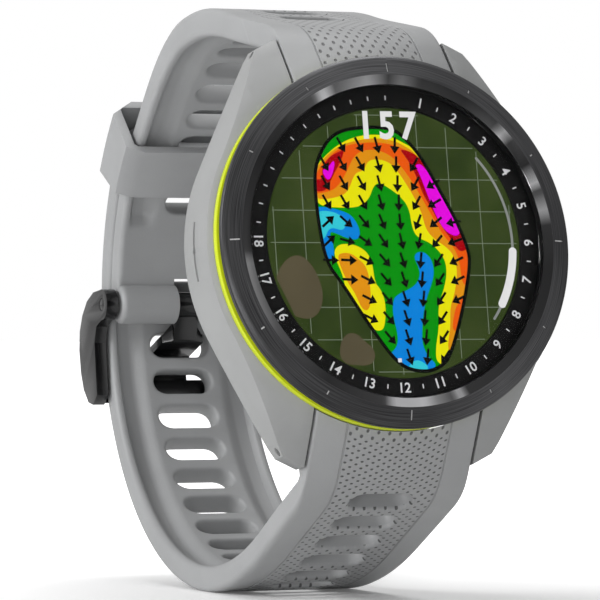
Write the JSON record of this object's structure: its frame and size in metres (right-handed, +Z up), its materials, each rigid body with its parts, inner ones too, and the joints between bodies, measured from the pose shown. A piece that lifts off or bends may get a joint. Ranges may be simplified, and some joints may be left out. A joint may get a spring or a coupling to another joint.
{
  "type": "golf gps watch",
  "caption": "Round sports watch on a buckled silicone band, with a lit golf green map, bezel, accent ring, side buttons, keeper loop and tang buckle.",
  "frame": {"origin": "middle of the rear sensor face, on the dial axis", "axes": "+Z up as the watch stands on its band, +X towards 3 o'clock, the dial faces -Y and leans back by 10 degrees"},
  "size_m": [0.044, 0.0769, 0.0676],
  "materials": {
    "case_polymer": "fine matt",
    "accent_yellow": "satin",
    "black_rubber": "matt",
    "bezel_steel": "brushed gunmetal, polished inner chamfer",
    "lens_glass": "clear, polished",
    "ring_black": "printed black",
    "display": "lit display",
    "dark_plastic": "moulded",
    "circuit_board": "solder mask",
    "tinned_steel": "tinned",
    "antenna_brass": "plated",
    "cell_foil": "foil",
    "back_plastic": "fine matt",
    "plain_steel": "satin",
    "sensor_black": "polished",
    "gold_contacts": "gold plated",
    "flex_film": "film",
    "band_silicone": "soft matt silicone",
    "buckle_black": "polished black",
    "button_metal": "satin gunmetal"
  },
  "bodies": {
    "case": {"case_body": "case_polymer", "accent_ring": "accent_yellow", "bezel_gasket": "black_rubber", "bezel": "bezel_steel", "lens": "lens_glass", "number_ring": "ring_black", "display_panel": "display", "display_frame": "dark_plastic", "main_board": "circuit_board", "board_shields": "tinned_steel", "gps_antenna": "antenna_brass", "battery": "cell_foil", "battery_tray": "dark_plastic", "vibration_motor": "tinned_steel", "pressure_sensor": "tinned_steel", "back_cover_gasket": "black_rubber", "back_cover": "back_plastic", "back_cover_screws": "plain_steel", "sensor_window": "sensor_black", "optical_sensor": "circuit_board", "charging_socket": "dark_plastic", "charging_contacts": "gold_contacts", "button_bushings": "plain_steel", "button_seals": "black_rubber", "button_switches": "tinned_steel", "button_flex": "flex_film"},
    "upper_band": {"upper_strap": "band_silicone", "upper_spring_bar": "plain_steel", "upper_latch_spring": "plain_steel", "buckle_bar": "buckle_black"},
    "upper_latch": {"upper_release_latch": "plain_steel"},
    "lower_band": {"lower_strap": "band_silicone", "lower_spring_bar": "plain_steel", "lower_latch_spring": "plain_steel"},
    "lower_latch": {"lower_release_latch": "plain_steel"},
    "keeper_loop": {"keeper": "band_silicone"},
    "buckle": {"buckle_frame": "buckle_black"},
    "tang": {"buckle_tang": "buckle_black"},
    "top_button": {"button_top": "button_metal", "button_clip_top": "plain_steel"},
    "middle_button": {"button_middle": "button_metal", "button_clip_middle": "plain_steel"},
    "bottom_button": {"button_bottom": "button_metal", "button_clip_bottom": "plain_steel"}
  },
  "joints": [
    {"name": "button_top_press", "type": "slide", "parent": "case", "child": "top_button", "axis": [-0.848, -0.092, -0.5219], "range_m": [0, 0.0006], "stiffness_N_per_m": 1500, "springref_m": -0.0008},
    {"name": "button_middle_press", "type": "slide", "parent": "case", "child": "middle_button", "axis": [-1, 0, 0], "range_m": [0, 0.0006], "stiffness_N_per_m": 1500, "springref_m": -0.0008},
    {"name": "button_bottom_press", "type": "slide", "parent": "case", "child": "bottom_button", "axis": [-0.848, 0.092, 0.5219], "range_m": [0, 0.0006], "stiffness_N_per_m": 1500, "springref_m": -0.0008},
    {"name": "upper_strap_swing", "type": "hinge", "parent": "case", "child": "upper_band", "pos_m": [0, -0.00094, 0.02291], "axis": [1, 0, 0], "range_deg": [-0.2, 0.2]},
    {"name": "lower_strap_swing", "type": "hinge", "parent": "case", "child": "lower_band", "pos_m": [0, -0.00872, -0.02121], "axis": [1, 0, 0], "range_deg": [-0.2, 0.2]},
    {"name": "upper_release_slide", "type": "slide", "parent": "upper_band", "child": "upper_latch", "axis": [1, 0, 0], "range_m": [0, 0.0012], "stiffness_N_per_m": 600, "springref_m": -0.0015, "deforming": ["upper_latch_spring"]},
    {"name": "lower_release_slide", "type": "slide", "parent": "lower_band", "child": "lower_latch", "axis": [1, 0, 0], "range_m": [0, 0.0012], "stiffness_N_per_m": 600, "springref_m": -0.0015, "deforming": ["lower_latch_spring"]},
    {"name": "keeper_slide", "type": "hinge", "parent": "upper_band", "child": "keeper_loop", "pos_m": [0, 0.02413, -0.00425], "axis": [-1, 0, 0], "range_deg": [-3, 14]},
    {"name": "buckle_swing", "type": "hinge", "parent": "upper_band", "child": "buckle", "pos_m": [0, 0.05256, -0.005], "axis": [1, 0, 0], "range_deg": [0, 4]},
    {"name": "tang_swing", "type": "hinge", "parent": "upper_band", "child": "tang", "pos_m": [0, 0.05256, -0.005], "axis": [1, 0, 0], "range_deg": [0, 4]}
  ],
  "couplings": [
    {"joint": "tang_swing", "follows": "buckle_swing", "ratio": 1},
    {"joint": "lower_strap_swing", "follows": "upper_strap_swing", "ratio": -1}
  ]
}
